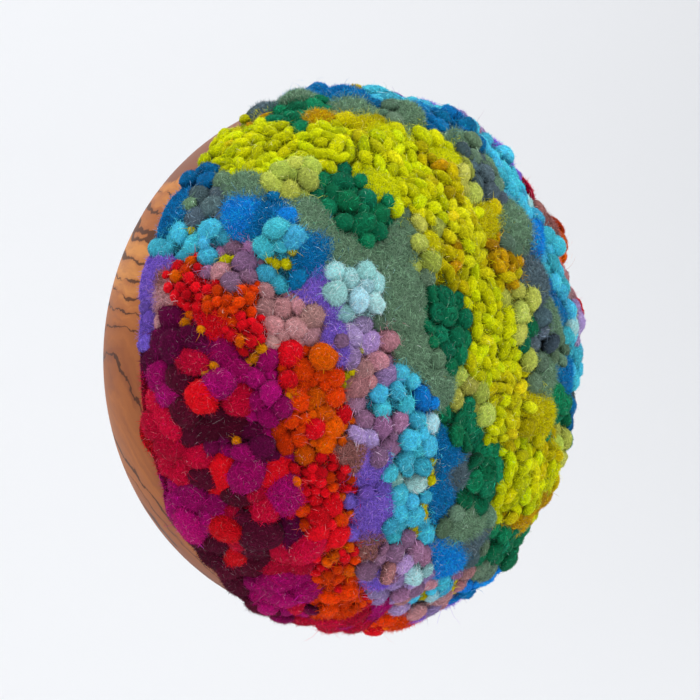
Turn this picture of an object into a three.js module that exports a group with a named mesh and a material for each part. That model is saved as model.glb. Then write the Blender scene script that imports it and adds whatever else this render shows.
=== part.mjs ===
import * as THREE from 'three';

// A round wall piece: a domed mound of punch needle wool set in a small turned olive wood bowl.
// Millimetres, +Z up. The wall is the plane Y = 0 and the front faces -Y.
// The origin is the middle of the bowl's flat foot, which lies against the wall.

// The bowl, turned from one block: its side is an arc that runs straight out at the rim
const BOWL = {
  rimRadius: 45.7,
  depth: 28,
  sideArc: 30.5,
  wall: 5,
  floor: 6,
  lipRound: 1.1,
  footRound: 0.7,
  segments: 84,
  arcSteps: 6,
  roundSteps: 2,
};

// The wool mound: its crown bulges from the lip, its edge hangs over the lip as a short hem,
// and its filled body goes down into the bowl
const MOUND = {
  edgeRadius: 47.7,
  edgeDepth: 28,
  height: 29.8,
  fullness: 2.33,
  rings: 25,
  ringStep: 6,
  hemDepth: 26.9,
  hemHang: 0.8,
  hemRound: 0.9,
  bodyPoints: 75,
};

// Groups of tufts that stand up from the crown, with creases between them
const TUFTS = {
  groups: 240,
  crease: 1.35,
  leastRadius: 3.6,
  radiusSpread: 2.8,
  leastRise: 0.8,
  riseSpread: 1.4,
  scatter: 0.8,
};

// Clearance between the wool and the wood
const GAP = 0.3;

// Share of the tufts' relief that is left at the crown's last ring, where it turns under
const EDGE_SHARE = 0.6;

// Colours of the two finishes
const WOOD_COLOUR = 0xb8743f;
const WOOL_COLOUR = 0x8a5a70;

// Unit number between 0 and 1 that is the same every time for the same whole number
function scatterNumber(n) {
  const wave = Math.sin(n * 12.9898) * 43758.5453;
  return wave - Math.floor(wave);
}

// Points along the arc of the bowl's side, from the rim to a given distance below it.
// inset moves the arc inwards, so the inner wall and the wool body share its centre.
function sideArc(inset, below) {
  const radius = BOWL.sideArc - inset;
  const centre = BOWL.rimRadius - BOWL.sideArc;
  const lastAngle = Math.asin(below / radius);
  const points = [];
  for (let step = 0; step <= BOWL.arcSteps; step += 1) {
    const angle = (lastAngle * step) / BOWL.arcSteps;
    points.push({ radius: centre + radius * Math.cos(angle), depth: BOWL.depth - radius * Math.sin(angle) });
  }
  return points;
}

// Quarter round between two points of a profile, bulging towards a third, the corner that it replaces
function roundCorner(from, corner, to) {
  const curve = new THREE.QuadraticBezierCurve(
    new THREE.Vector2(from.radius, from.depth),
    new THREE.Vector2(corner.radius, corner.depth),
    new THREE.Vector2(to.radius, to.depth),
  );
  return curve.getPoints(BOWL.roundSteps).map((point) => ({ radius: point.x, depth: point.y }));
}

// The bowl's closed profile, from the middle of the foot round the rim to the middle of the inner floor
function bowlProfile() {
  const outer = sideArc(0, BOWL.depth).reverse();
  const inner = sideArc(BOWL.wall, BOWL.depth - BOWL.floor);
  const foot = outer.shift();
  const footSide = { radius: foot.radius + BOWL.footRound * 0.4, depth: BOWL.footRound };
  outer.pop();
  const rimSide = { radius: BOWL.rimRadius, depth: BOWL.depth - BOWL.lipRound };
  const rimTop = { radius: BOWL.rimRadius - BOWL.lipRound, depth: BOWL.depth };
  const innerTop = { radius: BOWL.rimRadius - BOWL.wall + BOWL.lipRound, depth: BOWL.depth };
  inner[0].depth = BOWL.depth - BOWL.lipRound;
  return [
    { radius: 0, depth: 0 },
    ...roundCorner({ radius: foot.radius - BOWL.footRound, depth: 0 }, foot, footSide),
    ...outer,
    ...roundCorner(rimSide, { radius: BOWL.rimRadius, depth: BOWL.depth }, rimTop),
    ...roundCorner(innerTop, { radius: BOWL.rimRadius - BOWL.wall, depth: BOWL.depth }, inner[0]),
    ...inner.slice(1),
    { radius: 0, depth: BOWL.floor },
  ];
}

// Smooth outline of the crown, from its top to its edge, as even steps of length.
// Each place has its radius, its depth in front of the wall, and the outward direction there.
function crownOutline(steps) {
  const fine = 600;
  const power = 2 / MOUND.fullness;
  const path = [];
  for (let step = 0; step <= fine; step += 1) {
    const angle = (Math.PI / 2) * (1 - step / fine);
    path.push(new THREE.Vector2(
      MOUND.edgeRadius * Math.max(Math.cos(angle), 0) ** power,
      MOUND.edgeDepth + MOUND.height * Math.sin(angle) ** power,
    ));
  }
  path[0].x = 0;
  const length = [0];
  for (let step = 1; step <= fine; step += 1) {
    length.push(length[step - 1] + path[step].distanceTo(path[step - 1]));
  }
  const places = [];
  let near = 0;
  for (let step = 0; step <= steps; step += 1) {
    const target = (length[fine] * step) / steps;
    while (near < fine - 1 && length[near + 1] < target) near += 1;
    const share = (target - length[near]) / (length[near + 1] - length[near]);
    const at = path[near].clone().lerp(path[near + 1], share);
    const along = path[near + 1].clone().sub(path[near]).normalize();
    places.push({ radius: at.x, depth: at.y, outRadius: -along.y, outDepth: along.x });
  }
  places[0].outRadius = 0;
  places[0].outDepth = 1;
  return places;
}

// Middles of the tuft groups: equal areas of the crown in turn, each a golden angle on, then scattered
function tuftGroups() {
  const steps = 200;
  const outline = crownOutline(steps);
  const area = [0];
  for (let step = 1; step <= steps; step += 1) {
    const [a, b] = [outline[step - 1], outline[step]];
    area.push(area[step - 1] + (a.radius + b.radius) * Math.hypot(b.radius - a.radius, b.depth - a.depth));
  }
  const goldenAngle = Math.PI * (3 - Math.sqrt(5));
  const groups = [];
  for (let index = 0; index < TUFTS.groups; index += 1) {
    const shift = (scatterNumber(2 * index + 1) - 0.5) * TUFTS.scatter;
    const target = (area[steps] * (index + 0.5 + shift)) / TUFTS.groups;
    const place = outline[area.findIndex((sum) => sum >= target)];
    const turn = index * goldenAngle + (scatterNumber(2 * index + 2) - 0.5) * TUFTS.scatter;
    groups.push({
      middle: new THREE.Vector3(place.radius * Math.cos(turn), -place.depth, place.radius * Math.sin(turn)),
      radius: TUFTS.leastRadius + TUFTS.radiusSpread * scatterNumber(3 * index + 500),
      rise: TUFTS.leastRise + TUFTS.riseSpread * scatterNumber(5 * index + 900),
    });
  }
  return groups;
}

// Height of the tufts above the creases at a point of the crown
function tuftRise(point, groups) {
  let rise = 0;
  for (const group of groups) {
    const reach = point.distanceTo(group.middle) / group.radius;
    if (reach < 1) rise = Math.max(rise, group.rise * (1 - reach * reach));
  }
  return rise;
}

// Level ring of points round the Y axis; a ring of no radius is one point
function levelRing(radius, depth, count) {
  const ring = [];
  for (let index = 0; index < count; index += 1) {
    const turn = (2 * Math.PI * index) / count;
    ring.push(new THREE.Vector3(radius * Math.cos(turn), -depth, radius * Math.sin(turn)));
  }
  return ring;
}

// Rings of the crown, each with a few more points than the last, so that the faces stay even
function crownRings() {
  const outline = crownOutline(MOUND.rings);
  const groups = tuftGroups();
  const last = outline.length - 1;
  return outline.map((place, index) => {
    const count = Math.max(index * MOUND.ringStep, 1);
    const edgeShare = index === last ? EDGE_SHARE : 1;
    return levelRing(place.radius, place.depth, count).map((point) => {
      const outward = new THREE.Vector3(point.x, 0, point.z).normalize().multiplyScalar(place.outRadius);
      outward.y = -place.outDepth;
      const move = (tuftRise(point, groups) - TUFTS.crease) * edgeShare;
      return point.addScaledVector(outward.normalize(), move);
    });
  });
}

// Rings of the hem, which turns under outside the lip and comes back up beside it.
// It bulges and hangs lower where a group of tufts stands at the edge.
function hemRings(count) {
  const groups = tuftGroups();
  const inner = BOWL.rimRadius + GAP;
  const round = MOUND.hemRound;
  const section = [
    { radius: MOUND.edgeRadius - round * 0.1, depth: MOUND.hemDepth + round * 0.5, bulge: 1, hang: 0.6 },
    { radius: MOUND.edgeRadius - round * 0.7, depth: MOUND.hemDepth, bulge: 0.6, hang: 1 },
    { radius: inner, depth: MOUND.hemDepth + round * 0.3, bulge: 0, hang: 0.5 },
    { radius: inner, depth: BOWL.depth + GAP, bulge: 0, hang: 0 },
  ];
  return section.map((place) => levelRing(place.radius, place.depth, count).map((point) => {
    const outward = new THREE.Vector3(point.x, 0, point.z).normalize();
    const edge = outward.clone().multiplyScalar(MOUND.edgeRadius);
    edge.y = -MOUND.edgeDepth;
    const rise = tuftRise(edge, groups);
    point.addScaledVector(outward, (rise - TUFTS.crease) * EDGE_SHARE * place.bulge);
    point.y += rise * MOUND.hemHang * place.hang;
    return point;
  }));
}

// Rings of the mound's filled body, from the top of the lip down to the bowl's floor
function bodyRings() {
  const body = sideArc(BOWL.wall + GAP, BOWL.depth - BOWL.floor - GAP);
  body[0].depth = BOWL.depth + GAP;
  return [
    ...body.map((place) => levelRing(place.radius, place.depth, MOUND.bodyPoints)),
    levelRing(0, BOWL.floor + GAP, 1),
  ];
}

// Faces between two rings that may have different numbers of points, taken in order of angle
function joinRings(inner, outer, firstInner, firstOuter, faces) {
  let i = 0;
  let o = 0;
  const innerTurns = inner.length === 1 ? 0 : inner.length;
  const outerTurns = outer.length === 1 ? 0 : outer.length;
  while (i < innerTurns || o < outerTurns) {
    const a = firstInner + (i % inner.length);
    const b = firstOuter + (o % outer.length);
    const outerIsNext = i >= innerTurns || (o < outerTurns && (o + 1) * innerTurns <= (i + 1) * outerTurns);
    if (outerIsNext) {
      o += 1;
      faces.push(a, b, firstOuter + (o % outer.length));
    } else {
      i += 1;
      faces.push(a, b, firstInner + (i % inner.length));
    }
  }
}

// Closed surface through rings in order, from a single point to a single point
function skinRings(rings) {
  const firsts = [];
  const positions = [];
  for (const ring of rings) {
    firsts.push(positions.length / 3);
    for (const point of ring) positions.push(point.x, point.y, point.z);
  }
  const faces = [];
  for (let index = 1; index < rings.length; index += 1) {
    joinRings(rings[index - 1], rings[index], firsts[index - 1], firsts[index], faces);
  }
  const geometry = new THREE.BufferGeometry();
  geometry.setAttribute('position', new THREE.Float32BufferAttribute(positions, 3));
  geometry.setIndex(faces);
  geometry.computeVertexNormals();
  return geometry;
}

// The turned bowl
function makeBowl() {
  const profile = bowlProfile().map((place) => new THREE.Vector2(place.radius, -place.depth));
  const geometry = new THREE.LatheGeometry(profile.reverse(), BOWL.segments);
  const material = new THREE.MeshStandardMaterial({ color: WOOD_COLOUR, roughness: 0.5, metalness: 0 });
  const mesh = new THREE.Mesh(geometry, material);
  mesh.name = 'wood_bowl';
  return mesh;
}

// The wool mound with its hem and its filled body
function makeMound() {
  const crown = crownRings();
  const edgeCount = crown[crown.length - 1].length;
  const geometry = skinRings([...crown, ...hemRings(edgeCount), ...bodyRings()]);
  const material = new THREE.MeshStandardMaterial({ color: WOOL_COLOUR, roughness: 0.95, metalness: 0 });
  const mesh = new THREE.Mesh(geometry, material);
  mesh.name = 'punch_needle_dome';
  return mesh;
}

const group = new THREE.Group();
group.add(makeBowl(), makeMound());

export default group;
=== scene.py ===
"""Dresses a round punch needle wall piece: a mound of wool tufts in a small turned olive wood bowl.

Lengths are in metres. The bowl's foot lies on the plane Y = 0, the front faces -Y and +Z is up.
"""

import logging
import math
from dataclasses import dataclass, field
from enum import Enum

import bpy
import numpy as np
from mathutils import Matrix, Vector
from mathutils.bvhtree import BVHTree


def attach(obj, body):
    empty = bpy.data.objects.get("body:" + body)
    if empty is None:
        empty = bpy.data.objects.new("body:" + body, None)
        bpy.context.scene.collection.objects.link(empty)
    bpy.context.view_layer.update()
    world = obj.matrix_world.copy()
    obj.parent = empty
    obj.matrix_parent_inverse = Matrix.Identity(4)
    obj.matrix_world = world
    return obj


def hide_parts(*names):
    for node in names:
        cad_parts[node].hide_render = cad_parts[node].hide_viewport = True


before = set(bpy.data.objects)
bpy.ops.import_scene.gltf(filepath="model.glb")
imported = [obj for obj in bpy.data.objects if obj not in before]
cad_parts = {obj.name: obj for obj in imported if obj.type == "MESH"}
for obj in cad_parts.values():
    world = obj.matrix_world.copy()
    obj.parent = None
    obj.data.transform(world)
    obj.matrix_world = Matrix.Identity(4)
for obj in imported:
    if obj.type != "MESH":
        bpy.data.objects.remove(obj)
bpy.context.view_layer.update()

MM = 0.001
BAKE_MAP = "OFBake"
WOOL_ATTRIBUTE = "wool"
SWELL_ATTRIBUTE = "swelling"
GOLDEN_ANGLE = math.pi * (3 - math.sqrt(5))
SCATTER_STEP, SCATTER_GAIN = 12.9898, 43758.5453
PILE_GAIN = 1.35
BRIGHTEST = 0.95
MIX_SHARE, MIX_FIRST, MIX_SECOND, MIX_RESULT = 0, 6, 7, 2

log = logging.getLogger("wall_piece")


def linear(code: str) -> tuple[float, float, float]:
    """Turns a written colour into scene-linear numbers.

    Args:
        code: six hexadecimal digits, such as "c8cc00".

    Returns:
        Red, green and blue from 0 to 1.
    """
    shares = [int(code[place:place + 2], 16) / 255 for place in (0, 2, 4)]
    return tuple(share / 12.92 if share < 0.04045 else ((share + 0.055) / 1.055) ** 2.4 for share in shares)


def smooth_step(low: float, high: float, values: np.ndarray) -> np.ndarray:
    """Eases from 0 at low to 1 at high.

    Args:
        low: value at which the result leaves 0.
        high: value at which the result reaches 1.
        values: numbers to ease.

    Returns:
        One number from 0 to 1 for each value.
    """
    share = np.clip((values - low) / (high - low), 0, 1)
    return share * share * (3 - 2 * share)


def unit(vectors: np.ndarray) -> np.ndarray:
    """Scales each row to length 1."""
    return vectors / np.maximum(np.linalg.norm(vectors, axis=-1, keepdims=True), 1e-12)


def deselect_everything() -> None:
    """Leaves object mode with nothing selected."""
    if bpy.context.object is not None and bpy.context.object.mode != "OBJECT":
        bpy.ops.object.mode_set(mode="OBJECT")
    bpy.ops.object.select_all(action="DESELECT")


def mesh_arrays(piece: bpy.types.Object) -> tuple[np.ndarray, np.ndarray]:
    """Reads a mesh.

    Args:
        piece: mesh object.

    Returns:
        Its points, and the three points of each of its triangles.
    """
    mesh = piece.data
    mesh.calc_loop_triangles()
    points = np.empty(len(mesh.vertices) * 3, np.float32)
    corners = np.empty(len(mesh.loop_triangles) * 3, np.int32)
    mesh.vertices.foreach_get("co", points)
    mesh.loop_triangles.foreach_get("vertices", corners)
    return points.reshape(-1, 3).astype(float), corners.reshape(-1, 3)


def in_fixed_order(corners: np.ndarray) -> np.ndarray:
    """Sorts triangles, because a UV sphere's faces come in another order each time.

    Args:
        corners: one row of three point numbers for each triangle.

    Returns:
        The same triangles by their points' numbers, each from its lowest number on.
    """
    turns = (corners.argmin(1)[:, None] + np.arange(3)) % 3
    turned = np.take_along_axis(corners, turns, 1)
    return turned[np.lexsort(turned.T[::-1])]


def triangle_mesh(name: str, points: np.ndarray, corners: np.ndarray) -> bpy.types.Object:
    """Makes an object from arrays of triangles, with smooth shading.

    Args:
        name: the piece's name.
        points: one row for each point.
        corners: one row of three point numbers for each triangle.

    Returns:
        The new object, linked to the scene.
    """
    mesh = bpy.data.meshes.new(name)
    mesh.vertices.add(len(points))
    mesh.vertices.foreach_set("co", points.astype(np.float32).ravel())
    mesh.loops.add(len(corners) * 3)
    mesh.loops.foreach_set("vertex_index", corners.astype(np.int32).ravel())
    mesh.polygons.add(len(corners))
    mesh.polygons.foreach_set("loop_start", np.arange(0, len(corners) * 3, 3, dtype=np.int32))
    mesh.polygons.foreach_set("use_smooth", np.ones(len(corners), bool))
    mesh.update(calc_edges=True)
    piece = bpy.data.objects.new(name, mesh)
    bpy.context.scene.collection.objects.link(piece)
    return piece


def paint_wool(piece: bpy.types.Object, colours: np.ndarray) -> None:
    """Stores a colour for each point of a piece.

    Args:
        piece: mesh object.
        colours: one row of red, green and blue for each point.
    """
    layer = piece.data.color_attributes.new(WOOL_ATTRIBUTE, "FLOAT_COLOR", "POINT")
    whole = np.ones((len(colours), 4), np.float32)
    whole[:, :3] = colours
    layer.data.foreach_set("color", whole.ravel())


def map_faces_apart(piece: bpy.types.Object) -> None:
    """Gives each pair of triangles its own square of a map, so that no two lie over each other.

    Args:
        piece: mesh object made of triangles.
    """
    count = len(piece.data.polygons)
    side = math.ceil(math.sqrt(math.ceil(count / 2)))
    index = np.arange(count)
    square = index // 2
    corner = np.stack([square % side, square // side], 1).astype(float)
    low, high, gap = 0.06, 0.94, 0.04
    first = np.array([[low, low], [high - gap, low], [low, high - gap]])
    second = np.array([[high, high], [low + gap, high], [high, low + gap]])
    places = corner[:, None, :] + np.where((index % 2 == 0)[:, None, None], first, second)
    layer = piece.data.uv_layers.new(name=BAKE_MAP)
    layer.uv.foreach_set("vector", (places / side).astype(np.float32).ravel())


def seat(piece: bpy.types.Object, material: bpy.types.Material) -> None:
    """Dresses a finished piece and lets it ride on the part.

    Args:
        piece: finished mesh object.
        material: its finish.
    """
    piece.data.materials.clear()
    piece.data.materials.append(material)
    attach(piece, "root")


class Value:
    """A shader socket that takes part in arithmetic."""

    def __init__(self, tree: bpy.types.NodeTree, socket: bpy.types.NodeSocket) -> None:
        """Wraps a socket of a node tree."""
        self.tree = tree
        self.socket = socket

    def feed(self, target: bpy.types.NodeSocket) -> None:
        """Links this value to a socket."""
        self.tree.links.new(self.socket, target)

    def maths(self, operation: str, first: "Value | float", second: "Value | float") -> "Value":
        """Adds a Math node.

        Args:
            operation: the node's operation.
            first: its first value.
            second: its second value.

        Returns:
            The node's result.
        """
        node = self.tree.nodes.new("ShaderNodeMath")
        node.operation = operation
        for target, value in zip(node.inputs, (first, second)):
            if isinstance(value, Value):
                value.feed(target)
            else:
                target.default_value = value
        return Value(self.tree, node.outputs[0])

    def __add__(self, other: "Value | float") -> "Value":
        """Adds."""
        return self.maths("ADD", self, other)

    def __radd__(self, other: float) -> "Value":
        """Adds to a number."""
        return self.maths("ADD", other, self)

    def __sub__(self, other: "Value | float") -> "Value":
        """Subtracts."""
        return self.maths("SUBTRACT", self, other)

    def __rsub__(self, other: float) -> "Value":
        """Subtracts from a number."""
        return self.maths("SUBTRACT", other, self)

    def __mul__(self, other: "Value | float") -> "Value":
        """Multiplies."""
        return self.maths("MULTIPLY", self, other)

    def __rmul__(self, other: float) -> "Value":
        """Multiplies a number."""
        return self.maths("MULTIPLY", other, self)

    def clamped(self) -> "Value":
        """Keeps the value from 0 to 1."""
        return self.maths("MINIMUM", self.maths("MAXIMUM", self, 0.0), 1.0)

    def ease(self, low: float, high: float) -> "Value":
        """Goes evenly from 0 at low to 1 at high."""
        return ((self - low) * (1 / (high - low))).clamped()


class Finish:
    """A material that is built node by node round one Principled shader."""

    def __init__(self, name: str, **uniform: float | tuple) -> None:
        """Starts a material.

        Args:
            name: the material's name.
            uniform: the shader's sockets that are the same all over, with _ for each space.
        """
        self.material = bpy.data.materials.new(name)
        self.material.use_nodes = True
        self.tree = self.material.node_tree
        self.shader = self.tree.nodes["Principled BSDF"]
        for key, value in uniform.items():
            self.shader.inputs[key.replace("_", " ")].default_value = value

    def node(
        self, kind: str, settings: dict | None = None, inputs: dict | None = None, output: int | str = 0
    ) -> Value:
        """Adds any node.

        Args:
            kind: the node's type after "ShaderNode".
            settings: its properties, and "stops" for a ramp, as pairs of place and colour.
            inputs: numbers, colours or values by socket name or number.
            output: which of its outputs to return.

        Returns:
            That output.
        """
        node = self.tree.nodes.new("ShaderNode" + kind)
        for key, value in (settings or {}).items():
            if key == "stops":
                ramp = node.color_ramp
                while len(ramp.elements) < len(value):
                    ramp.elements.new(0.5)
                for element, (place, colour) in zip(ramp.elements, value):
                    element.position = place
                    element.color = (*colour, 1)
            else:
                setattr(node, key, value)
        for key, value in (inputs or {}).items():
            if isinstance(value, Value):
                value.feed(node.inputs[key])
            else:
                node.inputs[key].default_value = value
        return Value(self.tree, node.outputs[output])

    def noise(self, place: Value, scale: float, detail: float = 2.0, rough: float = 0.5) -> Value:
        """Adds a noise pattern, from 0 to 1.

        Args:
            place: coordinates.
            scale: bumps for each metre.
            detail: number of finer layers.
            rough: how strong the finer layers are.

        Returns:
            The pattern.
        """
        sockets = {"Vector": place, "Scale": scale, "Detail": detail, "Roughness": rough}
        return self.node("TexNoise", inputs=sockets)

    def absolute(self, value: Value) -> Value:
        """Drops the sign of a value."""
        return self.node("Math", {"operation": "ABSOLUTE"}, {0: value})

    def mixed(
        self, share: "Value | float", first: "Value | tuple", second: "Value | tuple", blend: str = "MIX"
    ) -> Value:
        """Blends two colours.

        Args:
            share: how much of the second.
            first: colour at 0.
            second: colour at 1.
            blend: the Mix node's blend type.

        Returns:
            The blended colour.
        """
        colours = {
            key: value if isinstance(value, Value) else (*value, 1)
            for key, value in ((MIX_FIRST, first), (MIX_SECOND, second))
        }
        settings = {"data_type": "RGBA", "blend_type": blend}
        return self.node("Mix", settings, {MIX_SHARE: share, **colours}, output=MIX_RESULT)

    def bump(self, height: Value, strength: float, distance: float) -> None:
        """Raises the surface by a pattern.

        Args:
            height: pattern from 0 to 1.
            strength: share of the effect.
            distance: height in metres that 1 stands for.
        """
        raised = self.node("Bump", inputs={"Height": height, "Strength": strength, "Distance": distance})
        raised.feed(self.shader.inputs["Normal"])

    def set(self, socket: str, value: Value) -> None:
        """Feeds one of the shader's sockets."""
        value.feed(self.shader.inputs[socket])


@dataclass(frozen=True)
class WoolFinish:
    """Wool that takes its colour from each point's stored colour: the dyed yarn of each tuft with painted
    shade and highlights, with loose threads drawn on it.
    """

    name: str
    relief: float = 0.0
    threads: float = 0.0
    thread_scale: float = 900
    finer_scale: float = 1.9
    grain_scale: float = 3
    sharpness: float = 16
    coarse_tone: float = 0.6
    fine_tone: float = 0.5
    fine_relief: float = 0.6
    relief_strength: float = 0.5
    roughness: float = 0.95
    specular: float = 0.05
    sheen: float = 0.04
    sheen_roughness: float = 0.5

    def curly_lines(self, finish: Finish, place: Value, scale: float) -> Value:
        """Draws thin curly lines, as loose fibres on felt.

        Args:
            finish: the material that is being built.
            place: coordinates.
            scale: how close the lines are.

        Returns:
            1 on a line and 0 between.
        """
        fold = finish.absolute(finish.noise(place, scale, detail=1) - 0.5)
        return (1 - fold * self.sharpness).clamped()

    def material(self) -> bpy.types.Material:
        """Builds the material.

        Returns:
            A matt fibrous material with a soft sheen.
        """
        finish = Finish(
            self.name, Roughness=self.roughness, Specular_IOR_Level=self.specular,
            Sheen_Weight=self.sheen, Sheen_Roughness=self.sheen_roughness,
        )
        # the stored colour is the yarn's dye with painted shade and painted highlights in it
        yarn = finish.node("Attribute", {"attribute_name": WOOL_ATTRIBUTE}, output="Color")
        if self.threads == 0:
            finish.set("Base Color", yarn)
            return finish.material
        place = finish.node("TexCoord", output="Object")
        coarse = self.curly_lines(finish, place, self.thread_scale)
        fine = self.curly_lines(finish, place, self.thread_scale * self.finer_scale)
        grain = finish.noise(place, self.thread_scale * self.grain_scale, rough=0.6)
        drawn = coarse * self.coarse_tone + fine * self.fine_tone + grain
        brightness = (1 - self.threads) + drawn * self.threads
        grey = finish.node("CombineColor", inputs={0: brightness, 1: brightness, 2: brightness})
        finish.set("Base Color", finish.mixed(1.0, yarn, grey, "MULTIPLY"))
        if self.relief > 0:
            finish.bump(coarse + fine * self.fine_relief + grain, self.relief_strength, self.relief)
        return finish.material


@dataclass(frozen=True)
class OliveWoodFinish:
    """Oiled olive wood with dark veins, which cross the bowl's side above and run along it below."""

    light: str = "dc9450"
    middle: str = "b86e3a"
    dark: str = "94522e"
    vein: str = "3a2016"
    plain: str = "a06a52"
    plain_dark: str = "84523e"
    vein_spacing: float = 4.4 * MM
    vein_width: float = 1.5 * MM
    vein_edge: float = 0.14 * MM
    vein_gaps: float = 0.35
    vein_drift: float = 5
    vein_share: float = 0.82
    halo_width: float = 1.2 * MM
    halo_tone: float = 0.07
    bend: float = 14 * MM
    kink: float = 2.6 * MM
    stretch: float = 0.18
    line_tone: float = 0.3
    # painted light: how fast the wood's tone rises with height, as if lit from above
    painted_top_light: float = 6
    lean: float = 0.1
    lean_below: float = 22
    lean_from: float = 6 * MM
    plain_above: float = 31 * MM
    plain_edge: float = 0.5 * MM
    plain_waver: float = 5 * MM
    pore_depth: float = 0.05 * MM
    pore_strength: float = 0.2
    least_roughness: float = 0.42
    roughness_spread: float = 0.2
    specular: float = 0.12
    coat: float = 0.03
    coat_roughness: float = 0.35

    def material(self) -> bpy.types.Material:
        """Builds the material.

        Returns:
            A satin wood with veins, patches of colour, fine pores and painted light that pales it upwards.
        """
        finish = Finish(
            "olive_wood", Specular_IOR_Level=self.specular,
            Coat_Weight=self.coat, Coat_Roughness=self.coat_roughness,
        )
        place = finish.node("TexCoord", output="Object")
        x, y, z = (finish.node("SeparateXYZ", inputs={0: place}, output=axis) for axis in "XYZ")
        bend = finish.noise(place, scale=30) - 0.5
        kink = finish.noise(place, scale=240, detail=3, rough=0.65) - 0.5
        below = finish.node("Math", {"operation": "MINIMUM"}, {0: z - self.lean_from, 1: 0.0})
        slope = self.lean - below * self.lean_below
        ring = z - slope * y + bend * self.bend + kink * self.kink
        grain = finish.node("CombineXYZ", inputs={0: x * self.stretch, 1: y * self.stretch, 2: ring})
        waves = finish.noise(grain, scale=90, detail=1.5)
        turns = ring * (1 / self.vein_spacing) + waves * self.vein_drift
        from_line = finish.node("Math", {"operation": "FRACT"}, {0: turns}) - 0.5
        apart = finish.absolute(from_line) * self.vein_spacing
        thickness = (finish.noise(place, scale=130) - self.vein_gaps) * self.vein_width
        vein = 1 - (apart - thickness).ease(0.0, self.vein_edge)
        halo = 1 - apart.ease(0.0, self.halo_width)
        patches = finish.noise(grain, scale=48)
        lines = finish.noise(grain, scale=900, rough=0.55)
        # painted light and shade: the tone rises with height, paler above and darker below
        tone = patches + (lines - 0.5) * self.line_tone - halo * self.halo_tone + z * self.painted_top_light
        stops = [(0.36, linear(self.dark)), (0.54, linear(self.middle)), (0.7, linear(self.light))]
        body = finish.node("ValToRGB", {"stops": stops}, {0: tone})
        veined = finish.mixed(vein * self.vein_share, body, linear(self.vein))
        edge = (z + kink * self.plain_waver).ease(self.plain_above, self.plain_above + self.plain_edge)
        plain_tone = (lines * 0.5 + patches - 0.25).clamped()
        plain = finish.mixed(plain_tone, linear(self.plain_dark), linear(self.plain))
        finish.set("Base Color", finish.mixed(edge, veined, plain))
        finish.set("Roughness", self.least_roughness + lines * self.roughness_spread)
        finish.bump(lines, self.pore_strength, self.pore_depth)
        return finish.material


@dataclass(frozen=True)
class StageFinish:
    """Plain matt paper of the studio."""

    colour: str = "f1f2f4"
    roughness: float = 0.9

    def material(self) -> bpy.types.Material:
        """Builds the material."""
        return Finish("studio_paper", Roughness=self.roughness, Base_Color=(*linear(self.colour), 1)).material


class Pile(Enum):
    """How a group of tufts is worked."""

    LOOP = "small loops"
    KNOT = "felted knots"
    COIL = "knots with a dimple"
    BALL = "one large round knot among small ones"
    BEAD = "tiny knots"
    SHEARED = "cut and brushed pile"
    FEATHER = "flat feathery tufts"


class Wool(Enum):
    """The dyed wools."""

    LIME = "c9cf04"
    YELLOW = "d8cf10"
    OLIVE = "b8ac02"
    OCHRE = "b68c04"
    MUSTARD = "bcb004"
    PALE_GREEN = "b2bc50"
    EMERALD = "10704c"
    SAGE = "66846a"
    SLATE = "52646c"
    PETROL = "0a6aa0"
    BLUE = "1080dc"
    TURQUOISE = "46b8d6"
    ICE = "a6e0ec"
    LILAC = "a288ba"
    MAUVE = "926a8a"
    VIOLET = "785ac2"
    ROSE = "b88286"
    BROWN = "8a5a56"
    AMBER = "fa8200"
    ORANGE = "ff5800"
    RUST = "e03c02"
    SCARLET = "dc0c1c"
    MAGENTA = "a00a62"
    PLUM = "62083c"
    CRIMSON = "b80832"
    BURGUNDY = "520c26"

    @property
    def colour(self) -> np.ndarray:
        """The wool's scene-linear colour, raised for the light that its pile swallows."""
        return np.minimum(np.array(linear(self.value)) * PILE_GAIN, BRIGHTEST)


@dataclass(frozen=True)
class Band:
    """One band of the pattern, which reaches so far from the lime stream's middle on both sides."""

    reach: float
    wools: tuple[Wool, ...]
    piles: tuple[Pile, ...]
    dots: Wool | None = None


BANDS = (
    Band(4.8 * MM, (Wool.LIME, Wool.YELLOW, Wool.LIME), (Pile.LOOP,)),
    Band(8.8 * MM, (Wool.OLIVE, Wool.OCHRE, Wool.OLIVE, Wool.LIME), (Pile.SHEARED, Pile.SHEARED, Pile.LOOP)),
    Band(10.8 * MM, (Wool.PALE_GREEN, Wool.PALE_GREEN, Wool.OLIVE), (Pile.KNOT,)),
    Band(13.6 * MM, (Wool.EMERALD,), (Pile.COIL, Pile.KNOT)),
    Band(20 * MM, (Wool.SAGE, Wool.SLATE, Wool.SAGE), (Pile.SHEARED,) * 4 + (Pile.KNOT,)),
    Band(25 * MM, (Wool.PETROL, Wool.BLUE, Wool.PETROL), (Pile.SHEARED, Pile.SHEARED, Pile.KNOT)),
    Band(29.5 * MM, (Wool.TURQUOISE, Wool.ICE, Wool.TURQUOISE), (Pile.KNOT,), Wool.MUSTARD),
    Band(32.5 * MM, (Wool.LILAC, Wool.MAUVE, Wool.ROSE), (Pile.KNOT,), Wool.MUSTARD),
    Band(36.5 * MM, (Wool.VIOLET,), (Pile.SHEARED,)),
    Band(39.5 * MM, (Wool.ROSE, Wool.BROWN), (Pile.KNOT, Pile.SHEARED)),
    Band(46.5 * MM, (Wool.ORANGE, Wool.RUST, Wool.SCARLET, Wool.RUST), (Pile.BEAD, Pile.SHEARED, Pile.BALL)),
    Band(
        57 * MM, (Wool.MAGENTA, Wool.PLUM, Wool.MAGENTA, Wool.CRIMSON),
        (Pile.SHEARED, Pile.FEATHER, Pile.KNOT), Wool.AMBER,
    ),
    Band(99 * MM, (Wool.CRIMSON, Wool.BURGUNDY, Wool.SCARLET, Wool.CRIMSON, Wool.MAGENTA), (Pile.FEATHER,)),
)
FIRST_WARM_BAND = 8


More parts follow.
